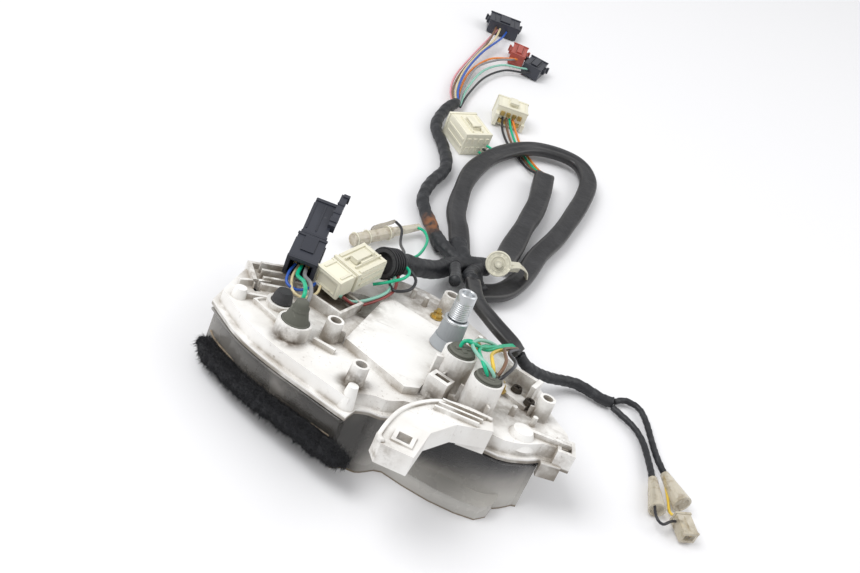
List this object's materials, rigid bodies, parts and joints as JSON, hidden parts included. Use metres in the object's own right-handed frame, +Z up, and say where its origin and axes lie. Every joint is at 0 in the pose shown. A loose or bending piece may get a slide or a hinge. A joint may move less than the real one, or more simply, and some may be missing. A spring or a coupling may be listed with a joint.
{
  "type": "instrument cluster",
  "caption": "Scooter instrument cluster lying on its smoky wedge lens, with a threaded speedometer drive on its back and its taped wiring harness and connectors.",
  "frame": {"origin": "on the outer face of the lens, under the middle of the flange, where the cluster rests", "axes": "+X along the cluster's long side, +Y towards the harness, +Z up out of the lens face"},
  "size_m": [0.3165, 0.6814, 0.0785],
  "materials": {
    "case_white": "moulded, dusty",
    "lens_smoke": "smoky transparent",
    "foam_black": "fuzzy foam",
    "dial_black": "printed",
    "zinc": "cast zinc",
    "grey_plastic": "satin",
    "steel": "plain",
    "needle_red": "painted",
    "nylon": "aged nylon",
    "black_plastic": "satin",
    "rubber_grey": "matt",
    "rubber_black": "matt",
    "bulb_glass": "clear",
    "brass": "tarnished",
    "screw_black": "blackened",
    "red_plastic": "satin",
    "clear_sleeve": "yellowed vinyl",
    "tape_black": "wrapped vinyl tape",
    "sleeve_black": "vinyl sleeve",
    "wire_green": "vinyl insulation"
  },
  "bodies": {
    "cluster": {"rear_case": "case_white", "lens_cover": "lens_smoke", "foam_seal": "foam_black", "dial_plate": "dial_black", "drive_stub": "zinc", "stub_collar": "grey_plastic", "speedometer_frame": "steel", "odometer_shaft": "steel", "plug_housing": "nylon", "socket_housing": "nylon", "white_connector_1": "nylon", "white_connector_2": "nylon", "harness_clip": "nylon", "fuel_gauge": "black_plastic", "relay_body": "black_plastic", "relay_socket": "black_plastic", "black_connector": "black_plastic", "grey_connector": "black_plastic", "lamp_holder_left": "rubber_grey", "lamp_holder_centre": "rubber_grey", "lamp_holder_right": "rubber_grey", "blanking_plug": "rubber_black", "connector_boot": "rubber_black", "lamp_bulb_left": "bulb_glass", "lamp_bulb_centre": "bulb_glass", "lamp_bulb_right": "bulb_glass", "gauge_nut_1": "brass", "gauge_nut_2": "brass", "gauge_nut_3": "brass", "plate_screw_1": "screw_black", "plate_screw_2": "screw_black", "red_connector": "red_plastic", "bullet_sleeve": "clear_sleeve", "lead_boot_1": "clear_sleeve", "lead_boot_2": "clear_sleeve", "lead_connector": "clear_sleeve", "trunk_cable": "tape_black", "up_branch": "tape_black", "case_lead": "tape_black", "taped_lead": "tape_black", "lead_branch_a": "tape_black", "lead_branch_b": "tape_black", "loop_sleeve": "sleeve_black", "loop_tail": "sleeve_black", "gauge_sleeve": "sleeve_black", "fan_wires": "wire_green", "lamp_wire_left": "wire_green", "lamp_wire_right": "wire_green"},
    "drive": {"drive_shaft": "steel", "drive_magnet": "steel"},
    "pointer": {"speedometer_needle": "needle_red", "needle_spindle": "steel", "drag_cup": "zinc"},
    "gear": {"odometer_gear": "nylon"},
    "drum_1": {"odometer_drum_1": "dial_black"},
    "drum_2": {"odometer_drum_2": "dial_black"},
    "drum_3": {"odometer_drum_3": "dial_black"},
    "drum_4": {"odometer_drum_4": "dial_black"},
    "fuel_pointer": {"fuel_needle": "needle_red"}
  },
  "joints": [
    {"name": "drive_turn", "type": "hinge", "parent": "cluster", "child": "drive", "pos_m": [0.025, 0.01276, 0.02752], "axis": [0, 0.1908, 0.9816], "continuous": true},
    {"name": "speed_pointer", "type": "hinge", "parent": "cluster", "child": "pointer", "pos_m": [0.025, 0.01276, 0.02752], "axis": [0, 0.1908, 0.9816], "range_deg": [-240, 0], "stiffness_Nm_per_rad": 0.0002},
    {"name": "fuel_pointer_turn", "type": "hinge", "parent": "cluster", "child": "fuel_pointer", "pos_m": [0.076, -0.00785, 0.03153], "axis": [0, 0.1908, 0.9816], "range_deg": [-80, 0]},
    {"name": "gear_turn", "type": "hinge", "parent": "cluster", "child": "gear", "pos_m": [0.009, -0.01472, 0.03286], "axis": [1, 0, 0], "continuous": true},
    {"name": "drum_1_turn", "type": "hinge", "parent": "cluster", "child": "drum_1", "pos_m": [0.009, -0.01472, 0.03286], "axis": [1, 0, 0], "continuous": true},
    {"name": "drum_2_turn", "type": "hinge", "parent": "cluster", "child": "drum_2", "pos_m": [0.009, -0.01472, 0.03286], "axis": [1, 0, 0], "continuous": true},
    {"name": "drum_3_turn", "type": "hinge", "parent": "cluster", "child": "drum_3", "pos_m": [0.009, -0.01472, 0.03286], "axis": [1, 0, 0], "continuous": true},
    {"name": "drum_4_turn", "type": "hinge", "parent": "cluster", "child": "drum_4", "pos_m": [0.009, -0.01472, 0.03286], "axis": [1, 0, 0], "continuous": true}
  ],
  "couplings": [
    {"joint": "gear_turn", "follows": "drive_turn", "ratio": -0.015625},
    {"joint": "drum_1_turn", "follows": "drive_turn", "ratio": -0.0015625},
    {"joint": "drum_2_turn", "follows": "drive_turn", "ratio": -0.00015625},
    {"joint": "drum_3_turn", "follows": "drive_turn", "ratio": -0.000015625},
    {"joint": "drum_4_turn", "follows": "drive_turn", "ratio": -0.0000015625}
  ]
}
